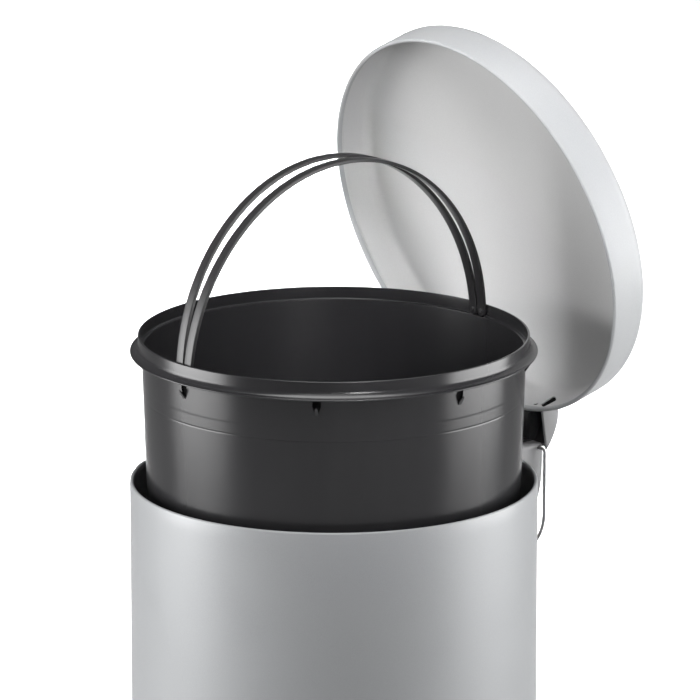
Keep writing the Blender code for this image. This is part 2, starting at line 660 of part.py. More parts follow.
def make_lid_hinge(mats):
    """The grey cover at the back of the lid, its knuckle on the pin, and the crank."""
    edge = RIM_Z + LID_EDGE_UP
    half, room = COVER_HALF_W, COVER_HALF_W - COVER_WALL
    outline = cover_outline(0.0, COVER_FRONT, COVER_FRONT_LOW, (COVER_TIP, COVER_LOW))
    piece = prism("lid_hinge_piece", outline, -half, half, mats["housing"])
    join(piece, opened(clip_plate("clip_plate_tool")))
    hollow_outline = cover_outline(COVER_WALL, COVER_FRONT + 0.01, -0.004, (0.004, -0.004))
    hollow = prism("cover_hollow_cutter", hollow_outline, -room, room, None)
    axis_ends = [(side * room, HINGE.y, HINGE.z) for side in (-1, 1)]
    round_room = rod_between("cover_room_cutter", *axis_ends, KNUCKLE_ROOM, None, 24)
    skirt_room = lathe("cover_skirt_cutter", [
        (0.0, edge - 0.01), (LID_R + GAP, edge - 0.01), (LID_R + GAP, edge + 0.04), (0.0, edge + 0.04),
    ], None)
    cut(piece, opened(hollow), opened(round_room), opened(skirt_room))

    barrel_ends = [(side * KNUCKLE_HALF_W, HINGE.y, HINGE.z) for side in (-1, 1)]
    joined = [rod_between("knuckle_tool", *barrel_ends, KNUCKLE_R, None)]
    for side in (-1, 1):
        low_x, high_x = sorted((side * WEB_NEAR, side * WEB_FAR))
        joined.append(prism(f"web_tool_{side}", web_outline(), low_x, high_x, None))
        low = (side * TAB_X - TAB_HALF_W, TAB_INNER_Y, edge + TAB_LOW)
        high = (side * TAB_X + TAB_HALF_W, TAB_OUTER_Y, edge + TAB_HIGH)
        joined.append(block(f"tab_tool_{side}", low, high, None))
    nose, arm = crank_outline()
    joined.append(prism("crank_tool", arm, -CRANK_HALF_W, CRANK_HALF_W, None))
    nose_ends = [(side * CRANK_HALF_W, nose.y, nose.z) for side in (-1, 1)]
    joined.append(rod_between("crank_nose_tool", *nose_ends, CRANK_NOSE_R, None))
    for tool in joined:
        join(piece, opened(tool))
    bore_ends = [(side * (KNUCKLE_HALF_W + 0.0048), HINGE.y, HINGE.z) for side in (-1, 1)]
    cut(piece, opened(rod_between("knuckle_bore_cutter", *bore_ends, PIN_R + GAP, None)))
    return opened(piece)


# The bucket and its hoops

def make_bucket(mats):
    flange = RIM_Z + GAP + BUCKET_LIFT          # underside of the flange
    floor = flange - BUCKET_DEPTH
    top = flange + COLLAR_H
    collar_in = COLLAR_R - COLLAR_WALL
    ledge = flange + LEDGE_UP
    corner = 0.006
    profile = [
        (0.0, floor), (BUCKET_BOTTOM_R - corner, floor), (BUCKET_BOTTOM_R - 0.0018, floor + 0.0018),
        (BUCKET_BOTTOM_R, floor + corner), (BUCKET_TOP_R, flange), (FLANGE_R - 0.0003, flange),
        (FLANGE_R, flange + 0.0005), (FLANGE_R, flange + FLANGE_T - 0.0005),
        (FLANGE_R - 0.0005, flange + FLANGE_T), (COLLAR_R, flange + FLANGE_T + 0.0002),
        (COLLAR_R, top - 0.0004), (COLLAR_R - 0.0004, top), (collar_in + 0.0003, top),
        (collar_in, top - 0.0003), (collar_in, ledge), (BUCKET_TOP_R - BUCKET_WALL, ledge - 0.0002),
        (BUCKET_BOTTOM_R - BUCKET_WALL, floor + corner), (BUCKET_BOTTOM_R - corner, floor + 0.0018),
        (0.0, floor + 0.0018),
    ]
    bucket = lathe("bucket", profile, mats["bucket"])
    for side in HOOP_LEANS:
        pivot = hoop_pivot(side)
        for end in (-1, 1):
            start = pivot + Vector((0, end * (collar_in - 0.004), 0))
            finish = pivot + Vector((0, end * (COLLAR_R - GAP), 0))
            bore = rod_between(f"hoop_bore_cutter_{side}_{end}", start, finish, HOOP_STUD_R + GAP, None)
            cut(bucket, bore)
    return bucket


def hoop_pivot(side):
    flange = RIM_Z + GAP + BUCKET_LIFT
    x = HOOP_OFFSET if side == "right" else -HOOP_OFFSET
    return Vector((x, 0.0, flange + LEDGE_UP + 0.0004 + HOOP_W / 2))


def hoop_sections(steps=36):
    """Outer point, inner point and half width along a hoop, from its back end to its front end."""
    first = math.asin(HOOP_DROP / HOOP_RISE_R)
    half_w = HOOP_W / 2
    sections = []
    for k in range(steps + 1):
        angle = first + (math.pi - 2 * first) * k / steps
        points = []
        for inset in (0.0, HOOP_T):
            span, rise = HOOP_SPAN_R - inset, HOOP_RISE_R - inset
            points.append(Vector((0, span * math.cos(angle), rise * math.sin(angle) - HOOP_DROP)))
        sections.append((*points, half_w))
    ends = sections[0], sections[-1]
    for turned in (25, 50, 75):
        drop = Vector((0, 0, half_w * math.sin(math.radians(turned))))
        narrow = half_w * math.cos(math.radians(turned))
        low = [(outer - drop, inner - drop, narrow) for outer, inner, _ in ends]
        sections = [low[0]] + sections + [low[1]]
    return sections


def make_hoop(side, mats):
    """A flat band bent to a half circle, round at its ends, with a stud on each end."""
    bm = bmesh.new()
    rings = []
    for outer, inner, half_w in hoop_sections():
        shoulder = outer.lerp(inner, HOOP_EDGE / HOOP_T)
        wide = Vector((half_w, 0, 0))
        flat = Vector((half_w - HOOP_EDGE, 0, 0))
        corners = [outer - flat, outer + flat, shoulder + wide, inner + wide, inner - wide, shoulder - wide]
        rings.append([bm.verts.new(corner) for corner in corners])
    for low, high in zip(rings, rings[1:]):
        for k in range(len(low)):
            after = (k + 1) % len(low)
            bm.faces.new((low[k], low[after], high[after], high[k]))
    bm.faces.new(rings[0])
    bm.faces.new(rings[-1])
    hoop = add_object(f"hoop_{side}", bm, mats["hoop"])
    studs = []
    for end in (-1, 1):
        start = (0, end * (HOOP_SPAN_R - HOOP_T * 0.6), 0)
        stud_end = (0, end * (COLLAR_R - 2 * GAP), 0)
        studs.append(rod_between(f"hoop_stud_tool_{side}_{end}", start, stud_end, HOOP_STUD_R, None))
    for obj in [hoop] + studs:
        obj.data.transform(Matrix.Rotation(HOOP_LEANS[side], 4, "Y"))
        obj.location = hoop_pivot(side)
    return join(hoop, *studs)


# The wire bail at the back

def make_bail(mats):
    tip_x = HOUSING_HALF_W - 0.0028
    side = Vector((BAIL_HALF_W, HINGE.y, HINGE.z))
    low = side - Vector((0, 0, BAIL_LEG))
    points = [Vector((tip_x, HINGE.y, HINGE.z))]
    points += bend(points[0], side, low, 0.0022, 5)
    centre = Vector((0, HINGE.y, HINGE.z - BAIL_LEG))
    for k in range(21):
        angle = math.radians(180 * k / 20)
        points.append(centre + Vector((BAIL_HALF_W * math.cos(angle), 0, -BAIL_HALF_W * math.sin(angle))))
    half = [Vector((-p.x, p.y, p.z)) for p in points[:7]]
    points += half[::-1]
    return hang_on(tube_along("carry_bail", points, BAIL_WIRE_R, mats["wire"], 10), HINGE.copy())


def build():
    clear_scene()
    mats = make_materials()
    make_outer_body(mats)
    make_base(mats)
    make_pedal_bracket(mats)
    make_pedal(mats)
    make_push_rod(mats)
    make_hinge_housing(mats)
    make_lid(mats)
    make_lid_hinge(mats)
    make_bucket(mats)
    for side in HOOP_LEANS:
        make_hoop(side, mats)
    make_bail(mats)


build()
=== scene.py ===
import json
import math

import bmesh
import bpy
from mathutils import Matrix, Vector


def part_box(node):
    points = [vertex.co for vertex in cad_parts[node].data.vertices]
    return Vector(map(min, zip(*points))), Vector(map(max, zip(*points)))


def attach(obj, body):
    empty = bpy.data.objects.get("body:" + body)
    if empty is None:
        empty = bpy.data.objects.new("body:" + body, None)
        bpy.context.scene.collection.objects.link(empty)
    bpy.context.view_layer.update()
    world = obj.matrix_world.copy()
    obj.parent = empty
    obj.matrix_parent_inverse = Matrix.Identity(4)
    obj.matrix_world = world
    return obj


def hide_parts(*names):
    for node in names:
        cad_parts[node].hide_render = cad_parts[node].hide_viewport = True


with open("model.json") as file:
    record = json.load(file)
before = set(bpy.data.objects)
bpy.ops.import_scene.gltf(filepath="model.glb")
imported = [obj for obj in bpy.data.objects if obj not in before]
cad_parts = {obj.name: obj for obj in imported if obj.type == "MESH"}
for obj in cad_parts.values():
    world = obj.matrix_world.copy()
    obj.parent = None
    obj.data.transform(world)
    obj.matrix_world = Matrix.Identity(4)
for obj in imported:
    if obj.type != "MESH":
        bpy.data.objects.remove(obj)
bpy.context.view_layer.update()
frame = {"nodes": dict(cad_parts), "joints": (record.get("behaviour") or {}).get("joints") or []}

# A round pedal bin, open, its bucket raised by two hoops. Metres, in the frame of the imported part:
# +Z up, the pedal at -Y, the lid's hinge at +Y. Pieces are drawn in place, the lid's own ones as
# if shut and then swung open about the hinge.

JOINTS = {joint["name"]: joint for joint in frame["joints"]}
CAN_LOW, CAN_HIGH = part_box("outer_body")
BUCKET_LOW, BUCKET_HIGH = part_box("bucket")

SIDES = 240                          # sides of a full turn
HOLE_SIDES = 32                      # sides of a drilled hole or a stud
SHARP = math.radians(30.0)           # edges that turn by more are shaded crisp
SOFTEN_FROM = math.radians(50.0)
THROUGH = (0.110, 0.132)             # reach of a cutter through the can, the lid or the base ring
SLACK = 0.0003                       # gap round a part in its hole or room
BODY_R = CAN_HIGH.x
RIM_Z = CAN_HIGH.z
SHEET = 0.0008
BEAD = 0.00105                       # radius of the can's rolled rim
ROD_SLOT_HALF_W = 0.0032             # slot for the push rod, its ends counted down from the rim
ROD_SLOT_LOW, ROD_SLOT_HIGH = 0.058, 0.022
LEVER_SLOT_HALF_W = 0.014            # opening for the pedal lever in the can and the base ring
LEVER_SLOT_TOP, LEVER_SLOT_CORNER = 0.0325, 0.004

BASE_R = 0.1262                      # plastic ring that the can's wall stands on
BASE_STEP_R, BASE_INNER_R = 0.1239, 0.1216
BASE_LOW, BASE_STEP, BASE_TOP = 0.0023, 0.0097, 0.0220
NOTCH_LOW = 0.0075                   # the base ring's two notches for the lever
BACK_NOTCH_TOP, BACK_NOTCH_R = 0.023, 0.1244
FOOT_R, FOOT_INNER_R, FOOT_H = 0.1256, 0.1222, 0.0020    # rubber ring under it

HINGE = Vector(JOINTS["lid_hinge"]["pos_m"])
LID_OPEN = math.radians(JOINTS["lid_hinge"]["range_deg"][1])
LID_EDGE = RIM_Z + 0.00375           # edge of the closed lid
LID_R = 0.1258
LID_CORNER = 0.008
LID_SKIRT = 0.0208
LID_DOME = 0.0252
LID_CORNER_TURN = 66                 # degrees of the corner before the dome starts
HEM = 0.0013                         # radius of the lid's rolled-in hem
SLOT_OUTLINE = (                     # a slot in the skirt: from the middle, above the edge, radius
    (0.0176, 0.0094, 0.0012), (0.0240, 0.0058, 0.0010), (0.0252, 0.0160, 0.0020),
    (0.0195, 0.0206, 0.0010), (0.0160, 0.0218, 0.0008),
)
HOLE_X, HOLE_UP, HOLE_R = 0.0130, 0.0093, 0.0018

COVER_HALF_W = 0.029                 # the lid's hinge piece, heights counted from the hinge axis
COVER_WALL = 0.0016
COVER_EDGE = 0.0008                  # rounding of its edges
COVER_TIP = 0.0021
COVER_LOW, COVER_FRONT_LOW = 0.0027, 0.0065
COVER_TOP = 0.0188
COVER_REACH, COVER_FRONT = 0.0215, 0.030
KNUCKLE_R = 0.0036
KNUCKLE_ROOM = 0.0044
CRANK_R = 0.014
CRANK_HALF_W = 0.0035
CRANK_NOSE_R = 0.003
CRANK_NECK = 0.0013
PIN_BORE_R, PIN_BORE_REACH = 0.0018, 0.022
PLATE_HALF_W = 0.0245                # curved clip plate that lies on the lid's skirt
PLATE_T = 0.0019
PLATE_LOW, PLATE_TOP = 0.0072, 0.0225
WEB_NEAR, WEB_FAR = 0.0140, 0.0165
WEB_OUTLINE = (                      # side view of the webs from the knuckle to the cover
    (-0.0030, 0.0), (0.0005, 0.0030), (-0.0130, 0.0150), (-0.0195, 0.0172), (-0.0195, 0.0060),
)
TAB_X = 0.0210
TAB_HALF_W = 0.0018
TAB_LOW, TAB_HIGH = 0.0130, 0.0155
TAB_INNER_Y, TAB_OUTER_Y = 0.1236, 0.1252
DARK_DEPTH = 0.0009                  # painted shade: the hinge piece is black from this far under its outside

COLLAR_H = 0.0110
FLANGE_Z = BUCKET_HIGH.z - COLLAR_H  # underside of the bucket's flange
FLANGE_R = 0.1245
FLANGE_LIP = 0.0011                  # height of the flange's thin outer edge
FLANGE_FILLET = 0.0044
COLLAR_R = 0.1196
COLLAR_WALL = 0.0013
BUCKET_TOP_R = 0.11735
BUCKET_BOTTOM_R = 0.1080
BUCKET_WALL = 0.00135
LEDGE_UP = 0.0033
FLOOR_TOP = 0.0030                   # top of the bucket's floor, above its lowest point
PUNT_R = 0.085                       # radius of the floor's raised middle
STEP_DOWN, STEP = 0.0190, 0.00004    # fine step in the wall: below the flange, and its size
GROOVE_DOWN, GROOVE = 0.0264, 0.00008
HOOK_ANGLES = range(0, 360, 45)
HOOK_DEPTH = 0.0010                  # of the recess over a hook
HOOK_HALF_W, HOOK_POINT_HALF_W = 0.0026, 0.0007
HOOK_TURN, HOOK_LOW = 0.0050, 0.0100     # heights below the flange
PRONG_ROOT, PRONG_TIP = 0.0103, 0.0049
PRONG_LEAN = 0.0043
PRONG_SECTIONS = (                   # part of the way up, thickness, half width
    (0.0, 0.0013, 0.0012), (0.4, 0.0011, 0.0011), (0.8, 0.0009, 0.0009), (1.0, 0.0004, 0.0004),
)

HOOP_SPAN_R = 0.1181
HOOP_RISE_R = 0.1214
HOOP_DROP = 0.0076
HOOP_T = 0.0022
HOOP_W = 0.0066
HOOP_EDGE = 0.0005                   # rounding of the band's edges
HOOP_LEANS = {"left": -1.8, "right": 2.5}
STUD_R, STUD_BORE_R = 0.0014, 0.0017
STUD_END, STUD_BORE_END = 0.0011, 0.0003     # short of the collar's outside

HOUSING_HALF_W = 0.025
HOUSING_BACK = 0.0040
HOUSING_TOP = 0.0018
HOUSING_BELLY = -0.012
HOUSING_TAPER = 0.044
HOUSING_WALL = 0.0022
HOUSING_CORNER = 0.003
HOUSING_EDGE = 0.0022                # rounding of its edges
HOUSING_MOUTH = 0.0062               # lower edge of its open top, below the rim
KNUCKLE_HALF_W = 0.0172

BAIL_WIRE_R = 0.001
BAIL_HALF_W = 0.0304
BAIL_LEG = 0.0405
BAIL_BEND = 0.0022
BAIL_TIP_DEPTH, BAIL_BORE_DEPTH = 0.0026, 0.0032

PEDAL_PIVOT = Vector(JOINTS["pedal_pivot"]["pos_m"])
PEDAL_TILT = math.radians(4.0)
PEDAL_TIP = -0.1746
PEDAL_HALF_W = 0.029
PEDAL_DEPTH = 0.042
PEDAL_T = 0.0092
PEDAL_EDGE = 0.0022                  # rounding of the tread's edges
PEDAL_CORNER, PEDAL_BACK_CORNER = 0.011, 0.0045
POCKET_HALF_W, POCKET_HALF_T = 0.0123, 0.0018
POCKET_START, POCKET_END = 0.008, 0.060      # from the tread's tip
PAD_LOW, PAD_TOP, PAD_INSET = 0.0048, 0.0057, 0.0036
RIBS, RIB_FIRST, RIB_PITCH = 8, 0.0072, 0.0038
RIB_TOP, RIB_HALF_W, RIB_TOP_HALF_W = 0.0064, 0.0010, 0.0007
RIB_INSET, END_RIB_INSET = 0.0062, 0.0085


# Materials

class Finish:
    """A node material built round one Principled shader."""

    def __init__(self, name, colour, metallic=0.0, coat=0.0, specular=0.5):
        self.material = bpy.data.materials.new(name)
        self.material.use_nodes = True
        self.tree = self.material.node_tree
        self.shader = self.tree.nodes["Principled BSDF"]
        self.shader.inputs["Metallic"].default_value = metallic
        self.shader.inputs["Coat Weight"].default_value = coat
        self.shader.inputs["Coat Roughness"].default_value = 0.22
        self.shader.inputs["Specular IOR Level"].default_value = specular
        self.material.diffuse_color = (*colour, 1.0)
        self.place = self.tree.nodes.new("ShaderNodeTexCoord").outputs["Object"]
        self.colour = colour
        self.height = None

    def noise(self, scale, detail=3.0, stretch=(1.0, 1.0, 1.0)):
        """Noise over the piece, scale in cells per metre, stretch per axis."""
        mapping = self.tree.nodes.new("ShaderNodeMapping")
        mapping.inputs["Scale"].default_value = stretch
        self.tree.links.new(self.place, mapping.inputs["Vector"])
        noise = self.tree.nodes.new("ShaderNodeTexNoise")
        noise.inputs["Scale"].default_value = scale
        noise.inputs["Detail"].default_value = detail
        self.tree.links.new(mapping.outputs["Vector"], noise.inputs["Vector"])
        return noise.outputs["Fac"]

    def spread(self, source, low, high, start=0.3, stop=0.7):
        """Map a 0 to 1 pattern onto low to high."""
        node = self.tree.nodes.new("ShaderNodeMapRange")
        node.interpolation_type = "SMOOTHSTEP"
        node.inputs["From Min"].default_value = start
        node.inputs["From Max"].default_value = stop
        node.inputs["To Min"].default_value = low
        node.inputs["To Max"].default_value = high
        self.tree.links.new(source, node.inputs["Value"])
        return node.outputs["Result"]

    def blend(self, source, first, second):
        """A colour between two, by a pattern."""
        node = self.tree.nodes.new("ShaderNodeMix")
        node.data_type = "RGBA"
        for socket, value in (("A_Color", first), ("B_Color", second)):
            target = next(i for i in node.inputs if i.identifier == socket)
            if isinstance(value, tuple):
                target.default_value = (*value, 1.0)
            else:
                self.tree.links.new(value, target)
        factor = next(i for i in node.inputs if i.identifier == "Factor_Float")
        self.tree.links.new(source, factor)
        return next(o for o in node.outputs if o.identifier == "Result_Color")

    def tint(self, factor):
        return tuple(channel * factor for channel in self.colour)

    def worn_edges(self, colour, start, stop):
        """Lighter colour where the surface is sharply convex."""
        shape = self.tree.nodes.new("ShaderNodeNewGeometry").outputs["Pointiness"]
        edge = self.spread(shape, 0.0, 0.5, start, stop)
        return self.blend(edge, colour, self.tint(1.25))

    def bump(self, source, strength, distance):
        node = self.tree.nodes.new("ShaderNodeBump")
        node.inputs["Strength"].default_value = strength
        node.inputs["Distance"].default_value = distance
        self.tree.links.new(source, node.inputs["Height"])
        if self.height is not None:
            self.tree.links.new(self.height, node.inputs["Normal"])
        self.height = node.outputs["Normal"]

    def done(self, colour, roughness):
        self.tree.links.new(colour, self.shader.inputs["Base Color"])
        self.tree.links.new(roughness, self.shader.inputs["Roughness"])
        if self.height is not None:
            self.tree.links.new(self.height, self.shader.inputs["Normal"])
        return self.material


def powder_coat(name, colour, rough, metallic, coat):
    """Fine satin powder coat: pinhead grain, a faint mottle, slightly uneven sheen."""
    finish = Finish(name, colour, metallic, coat)
    grain = finish.noise(2600.0, 2.0)
    mottle = finish.noise(35.0, 4.0)
    finish.bump(grain, 0.10, 0.00012)
    finish.bump(finish.noise(220.0, 2.0), 0.03, 0.0003)
    speckle = finish.blend(finish.spread(grain, 0.0, 1.0), finish.tint(0.955), finish.tint(1.045))
    mottled = finish.blend(finish.spread(mottle, 0.0, 0.35), speckle, finish.tint(1.03))
    colour = finish.worn_edges(mottled, 0.53, 0.62)
    return finish.done(colour, finish.spread(mottle, rough - 0.03, rough + 0.04))


def moulded_plastic(name, colour, rough, specular, grain_scale=1500.0):
    """Moulded plastic: spark-eroded grain, faint flow streaks, polished where it is handled."""
    finish = Finish(name, colour, specular=specular)
    grain = finish.noise(grain_scale, 3.0)
    flow = finish.noise(16.0, 3.0, (1.0, 1.0, 0.22))
    finish.bump(grain, 0.14, 0.00010)
    finish.bump(finish.noise(60.0, 2.0), 0.02, 0.0005)
    streaked = finish.blend(finish.spread(flow, 0.0, 1.0), finish.tint(0.90), finish.tint(1.12))
    colour = finish.worn_edges(streaked, 0.53, 0.62)
    return finish.done(colour, finish.spread(flow, rough - 0.03, rough + 0.03))


def rolled_steel(name, colour, rough, stretch):
    """Bare steel with rolling lines and a few dull patches."""
    finish = Finish(name, colour, metallic=1.0)
    lines = finish.noise(700.0, 4.0, stretch)
    patches = finish.noise(45.0, 4.0)
    finish.bump(lines, 0.12, 0.00010)
    colour = finish.blend(finish.spread(patches, 0.0, 1.0), finish.tint(0.86), finish.tint(1.08))
    return finish.done(colour, finish.spread(lines, rough - 0.06, rough + 0.08))


def drawn_wire(name, colour):
    """Drawn wire, dull from its zinc coat: fine lines along it, small spots."""
    finish = Finish(name, colour, metallic=0.3)
    lines = finish.noise(1800.0, 2.0, (1.0, 1.0, 0.08))
    finish.bump(lines, 0.08, 0.00005)
    spots = finish.noise(300.0, 3.0)
    colour = finish.blend(finish.spread(spots, 0.0, 1.0, 0.5, 0.75), finish.tint(1.0), finish.tint(0.78))
    return finish.done(colour, finish.spread(spots, 0.28, 0.42))


def soft_rubber(name, colour):
    """Matt rubber with a dusty bloom in its grain."""
    finish = Finish(name, colour, specular=0.3)
    grain = finish.noise(900.0, 4.0)
    finish.bump(grain, 0.30, 0.00015)
    bloom = finish.noise(70.0, 4.0)
    colour = finish.blend(finish.spread(bloom, 0.0, 1.0), finish.tint(0.8), finish.tint(1.7))
    return finish.done(colour, finish.spread(bloom, 0.68, 0.86))


CAN_COAT = powder_coat("can_coat", (0.330, 0.338, 0.347), 0.42, 0.10, 0.08)
LID_COAT = powder_coat("lid_coat", (0.380, 0.388, 0.396), 0.50, 0.05, 0.0)
LID_INSIDE = powder_coat("lid_inside", (0.53, 0.53, 0.53), 0.38, 0.0, 0.05)
BUCKET_PLASTIC = moulded_plastic("bucket_plastic", (0.0210, 0.0207, 0.0222), 0.23, 0.46)
HOOP_PLASTIC = moulded_plastic("hoop_plastic", (0.020, 0.0198, 0.0208), 0.36, 0.5)
GREY_PLASTIC = moulded_plastic("grey_plastic", (0.155, 0.155, 0.158), 0.42, 0.45, 1100.0)
BLACK_PLASTIC = moulded_plastic("black_plastic", (0.012, 0.012, 0.0125), 0.45, 0.45, 1100.0)
PLAIN_STEEL = rolled_steel("plain_steel", (0.52, 0.52, 0.53), 0.34, (1.0, 0.06, 1.0))
BRIGHT_WIRE = drawn_wire("bright_wire", (0.20, 0.20, 0.204))
RUBBER = soft_rubber("rubber", (0.018, 0.018, 0.018))
# Painted shade: a near-black, matt material put where there is only shade, in the hook recesses and on the
# hinge clips seen through the lid's slots.
SHADE_PAINT = moulded_plastic("painted_shade", (0.0022, 0.0021, 0.0023), 0.80, 0.05)


# Shape helpers

def add_mesh(name, bm, material=None):
    bmesh.ops.remove_doubles(bm, verts=bm.verts, dist=1e-7)
    bmesh.ops.recalc_face_normals(bm, faces=bm.faces)
    mesh = bpy.data.meshes.new(name)
    bm.to_mesh(mesh)
    bm.free()
    mesh.shade_smooth()
    mesh.set_sharp_from_angle(angle=SHARP)
    obj = bpy.data.objects.new(name, mesh)
    bpy.context.scene.collection.objects.link(obj)
    if material:
        mesh.materials.append(material)
    return obj


def apply_modifiers(obj):
    """Replace the mesh by what its modifiers make of it."""
    bpy.context.view_layer.update()
    graph = bpy.context.evaluated_depsgraph_get()
    mesh = bpy.data.meshes.new_from_object(obj.evaluated_get(graph))
    obj.modifiers.clear()
    obj.data = mesh
    mesh.shade_smooth()
    mesh.set_sharp_from_angle(angle=SHARP)


def combine(target, tools, operation):
    for tool in tools:
        mod = target.modifiers.new(operation.lower(), "BOOLEAN")
        mod.operation = operation
        mod.solver = "EXACT"
        mod.material_mode = "TRANSFER"
        mod.object = tool
    apply_modifiers(target)
    for tool in tools:
        bpy.data.objects.remove(tool)


def cut(target, *tools):
    combine(target, tools, "DIFFERENCE")


def join(target, *tools):
    combine(target, tools, "UNION")


def soften(obj, width, segments):
    """Round the edges that turn by more than SOFTEN_FROM."""
    mod = obj.modifiers.new("soft_edges", "BEVEL")
    mod.width = width
    mod.segments = segments
    mod.limit_method = "ANGLE"
    mod.angle_limit = SOFTEN_FROM
    apply_modifiers(obj)


def arc(centre, radius, start, end, steps):
    points = []
    for k in range(steps + 1):
        angle = math.radians(start + (end - start) * k / steps)
        points.append((centre[0] + radius * math.cos(angle), centre[1] + radius * math.sin(angle)))
    return points


def rounded(corners, steps=5):
    """A closed outline from corners (a, b, radius), each corner an arc of its radius."""
    points = []
    for k, (a, b, radius) in enumerate(corners):
        here = Vector((a, b))
        before = Vector(corners[k - 1][:2]) - here
        after = Vector(corners[(k + 1) % len(corners)][:2]) - here
        if radius == 0.0:
            points.append((a, b))
            continue
        half = before.angle(after) / 2
        to_before, to_after = before.normalized(), after.normalized()
        centre = here + (to_before + to_after).normalized() * radius / math.sin(half)
        first = here + to_before * radius / math.tan(half) - centre
        last = here + to_after * radius / math.tan(half) - centre
        turn = first.angle(last)
        for step in range(steps + 1):
            part = step / steps
            point = first * math.sin((1 - part) * turn) + last * math.sin(part * turn)
            points.append(tuple(centre + point / math.sin(turn)))
    return points


def lathe(name, outline, material=None):
    """Turn a closed outline of (radius, height) points about Z."""
    bm = bmesh.new()
    rings = []
    for radius, height in outline:
        if radius < 1e-6:
            rings.append([bm.verts.new((0.0, 0.0, height))])
            continue
        angles = [2 * math.pi * k / SIDES for k in range(SIDES)]
        rings.append([bm.verts.new((radius * math.cos(a), radius * math.sin(a), height)) for a in angles])
    for low, high in zip(rings, rings[1:] + rings[:1]):
        for k in range(SIDES):
            after = (k + 1) % SIDES
            corners = [low[k % len(low)], low[after % len(low)]]
            corners += [high[after % len(high)], high[k % len(high)]]
            corners = list(dict.fromkeys(corners))
            if len(corners) > 2:
                bm.faces.new(corners)
    return add_mesh(name, bm, material)


def prism(name, outline, low_x, high_x, material=None):
    """Extrude a closed outline of (y, z) points along X."""
    bm = bmesh.new()
    ends = [[bm.verts.new((x, y, z)) for y, z in outline] for x in (low_x, high_x)]
    bm.faces.new(ends[0])
    bm.faces.new(ends[1])
    for k in range(len(outline)):
        after = (k + 1) % len(outline)
        bm.faces.new((ends[0][k], ends[0][after], ends[1][after], ends[1][k]))
    return add_mesh(name, bm, material)


def block(name, low, high):
    outline = [(low[1], low[2]), (high[1], low[2]), (high[1], high[2]), (low[1], high[2])]
    return prism(name, outline, low[0], high[0])


def sweep(name, sections, material=None):
    """Skin a list of rings of points; the first and the last are capped."""
    bm = bmesh.new()
    rings = [[bm.verts.new(p) for p in ring] for ring in sections]
    for low, high in zip(rings, rings[1:]):
        for k in range(len(low)):
            after = (k + 1) % len(low)
            bm.faces.new((low[k], low[after], high[after], high[k]))
    bm.faces.new(rings[0])
    bm.faces.new(rings[-1])
    return add_mesh(name, bm, material)


def wire(name, points, radius, material=None, sides=20):
    """A round wire through points, its ends slightly rounded."""
    rings = []
    normal = None
    last = len(points) - 1
    for k, point in enumerate(points):
        along = (points[min(k + 1, last)] - points[max(k - 1, 0)]).normalized()
        if normal is None:
            normal = along.orthogonal().normalized()
        normal = (normal - along * normal.dot(along)).normalized()
        side = along.cross(normal)
        turns = [2 * math.pi * s / sides for s in range(sides)]
        ring = [point + (normal * math.cos(t) + side * math.sin(t)) * radius for t in turns]
        rings.append(ring)
        if k in (0, last):
            out = along * radius * 0.3 * (-1 if k == 0 else 1)
            small = [point + out + (p - point) * 0.75 for p in ring]
            rings.insert(0, small) if k == 0 else rings.append(small)
    return sweep(name, rings, material)


def rod(name, start, end, radius):
    """A straight rod, its ends slightly rounded."""
    start, end = Vector(start), Vector(end)
    return wire(name, [start, (start + end) / 2, end], radius, sides=HOLE_SIDES)


def drill(name, start, end, radius):
    """A plain round cutter between two points."""
    start, end = Vector(start), Vector(end)
    bm = bmesh.new()
    bmesh.ops.create_cone(
        bm, cap_ends=True, segments=HOLE_SIDES, radius1=radius, radius2=radius,
        depth=(end - start).length
    )
    turn = (end - start).to_track_quat("Z", "Y").to_matrix().to_4x4()
    bmesh.ops.transform(bm, matrix=Matrix.Translation((start + end) / 2) @ turn, verts=bm.verts)
    return add_mesh(name, bm)


def bend(corner_a, corner, corner_b, radius, steps=8):
    """Points of a rounded bend between two straight runs of wire."""
    to_a, to_b = (corner_a - corner).normalized(), (corner_b - corner).normalized()
    half = to_a.angle(to_b) / 2
    reach = radius / math.tan(half)
    centre = corner + (to_a + to_b).normalized() * radius / math.sin(half)
    first, last = corner + to_a * reach - centre, corner + to_b * reach - centre
    turn = first.angle(last)
    points = []
    for k in range(steps + 1):
        part = k / steps
        mixed = first * math.sin((1 - part) * turn) + last * math.sin(part * turn)
        points.append(centre + mixed / math.sin(turn))
    return points


def turned(obj, degrees):
    """Turn a mesh about the can's axis."""
    obj.data.transform(Matrix.Rotation(math.radians(degrees), 4, "Z"))
    return obj


def swung(obj):
    """Swing a mesh drawn on the closed lid up to the open position."""
    to_axis = Matrix.Translation(-HINGE)
    obj.data.transform(Matrix.Translation(HINGE) @ Matrix.Rotation(-LID_OPEN, 4, "X") @ to_axis)
    return obj


def tilted(obj):
    """Tilt a mesh drawn round a level lever to the pressed pedal."""
    obj.data.transform(Matrix.Translation(PEDAL_PIVOT) @ Matrix.Rotation(PEDAL_TILT, 4, "X"))
    return obj


def settle(piece, body, node):
    """Give a piece its body, and hide the CAD node that it stands for."""
    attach(piece, body)
    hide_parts(node)


# The can and its foot

